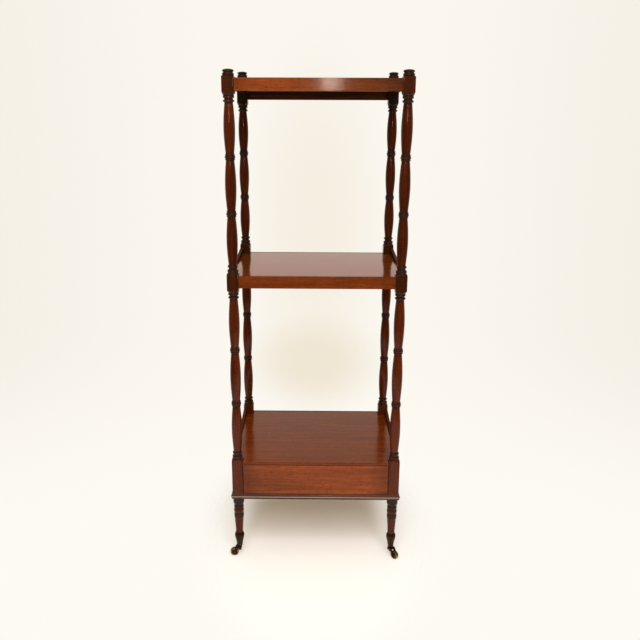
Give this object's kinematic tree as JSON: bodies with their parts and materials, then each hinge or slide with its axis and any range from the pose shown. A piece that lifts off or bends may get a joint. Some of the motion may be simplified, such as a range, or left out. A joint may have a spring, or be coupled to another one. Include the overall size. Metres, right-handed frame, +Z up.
{
  "type": "etagere",
  "caption": "Free-standing mahogany whatnot: framed shelves on turned posts, swept side galleries, a drawer in the base and turned legs on brass casters.",
  "frame": {"origin": "on the floor, under the middle of the bounding box", "axes": "+Z up; the drawer front looks along -Y; +X is to the right for someone facing the front"},
  "size_m": [0.451, 0.3548, 1.2435],
  "materials": {
    "mahogany": "French polished, warm red-brown, straight grain",
    "mahogany_turned": "French polished, darker in the grooves of the turning",
    "drawer_lining": "planed and left bare, dry and slightly dusty",
    "brass": "cast and turned, dark patina with worn high spots"
  },
  "bodies": {
    "carcass": {"front_left_post": "mahogany_turned", "front_left_finial": "mahogany_turned", "front_left_leg": "mahogany_turned", "front_left_caster_cup": "brass", "front_right_post": "mahogany_turned", "front_right_finial": "mahogany_turned", "front_right_leg": "mahogany_turned", "front_right_caster_cup": "brass", "rear_left_post": "mahogany_turned", "rear_left_finial": "mahogany_turned", "rear_left_leg": "mahogany_turned", "rear_left_caster_cup": "brass", "rear_right_post": "mahogany_turned", "rear_right_finial": "mahogany_turned", "rear_right_leg": "mahogany_turned", "rear_right_caster_cup": "brass", "top_board": "mahogany", "top_front_rail": "mahogany", "top_back_rail": "mahogany", "top_left_rail": "mahogany", "top_right_rail": "mahogany", "top_left_gallery": "mahogany", "top_right_gallery": "mahogany", "mid_board": "mahogany", "mid_front_rail": "mahogany", "mid_back_rail": "mahogany", "mid_left_rail": "mahogany", "mid_right_rail": "mahogany", "mid_left_gallery": "mahogany", "mid_right_gallery": "mahogany", "base_board": "mahogany", "base_left_panel": "mahogany", "base_right_panel": "mahogany", "base_back_panel": "mahogany", "base_front_rail": "mahogany", "base_left_gallery": "mahogany", "base_right_gallery": "mahogany", "base_moulding_front": "mahogany", "base_moulding_left": "mahogany", "base_moulding_right": "mahogany", "drawer_runner_left": "drawer_lining", "drawer_runner_right": "drawer_lining"},
    "drawer": {"drawer_front": "mahogany", "drawer_left_side": "drawer_lining", "drawer_right_side": "drawer_lining", "drawer_back": "drawer_lining", "drawer_bottom": "drawer_lining"},
    "front_left_caster": {"front_left_caster_fork": "brass", "front_left_caster_axle": "brass"},
    "front_left_caster_wheel": {"front_left_caster_wheel": "brass"},
    "front_right_caster": {"front_right_caster_fork": "brass", "front_right_caster_axle": "brass"},
    "front_right_caster_wheel": {"front_right_caster_wheel": "brass"},
    "rear_left_caster": {"rear_left_caster_fork": "brass", "rear_left_caster_axle": "brass"},
    "rear_left_caster_wheel": {"rear_left_caster_wheel": "brass"},
    "rear_right_caster": {"rear_right_caster_fork": "brass", "rear_right_caster_axle": "brass"},
    "rear_right_caster_wheel": {"rear_right_caster_wheel": "brass"}
  },
  "joints": [
    {"name": "drawer_slide", "type": "slide", "parent": "carcass", "child": "drawer", "axis": [0, -1, 0], "range_m": [0, 0.22]},
    {"name": "front_left_swivel", "type": "hinge", "parent": "carcass", "child": "front_left_caster", "pos_m": [-0.2, -0.157, 0.031], "axis": [0, 0, 1], "continuous": true},
    {"name": "front_left_wheel_spin", "type": "hinge", "parent": "front_left_caster", "child": "front_left_caster_wheel", "pos_m": [-0.2145, -0.157, 0.011], "axis": [0, 1, 0], "continuous": true},
    {"name": "front_right_swivel", "type": "hinge", "parent": "carcass", "child": "front_right_caster", "pos_m": [0.2, -0.157, 0.031], "axis": [0, 0, 1], "continuous": true},
    {"name": "front_right_wheel_spin", "type": "hinge", "parent": "front_right_caster", "child": "front_right_caster_wheel", "pos_m": [0.21025, -0.16725, 0.011], "axis": [0.7071, 0.7071, 0], "continuous": true},
    {"name": "rear_left_swivel", "type": "hinge", "parent": "carcass", "child": "rear_left_caster", "pos_m": [-0.2, 0.157, 0.031], "axis": [0, 0, 1], "continuous": true},
    {"name": "rear_left_wheel_spin", "type": "hinge", "parent": "rear_left_caster", "child": "rear_left_caster_wheel", "pos_m": [-0.21025, 0.16725, 0.011], "axis": [0.7071, 0.7071, 0], "continuous": true},
    {"name": "rear_right_swivel", "type": "hinge", "parent": "carcass", "child": "rear_right_caster", "pos_m": [0.2, 0.157, 0.031], "axis": [0, 0, 1], "continuous": true},
    {"name": "rear_right_wheel_spin", "type": "hinge", "parent": "rear_right_caster", "child": "rear_right_caster_wheel", "pos_m": [0.2145, 0.157, 0.011], "axis": [0, 1, 0], "continuous": true}
  ]
}
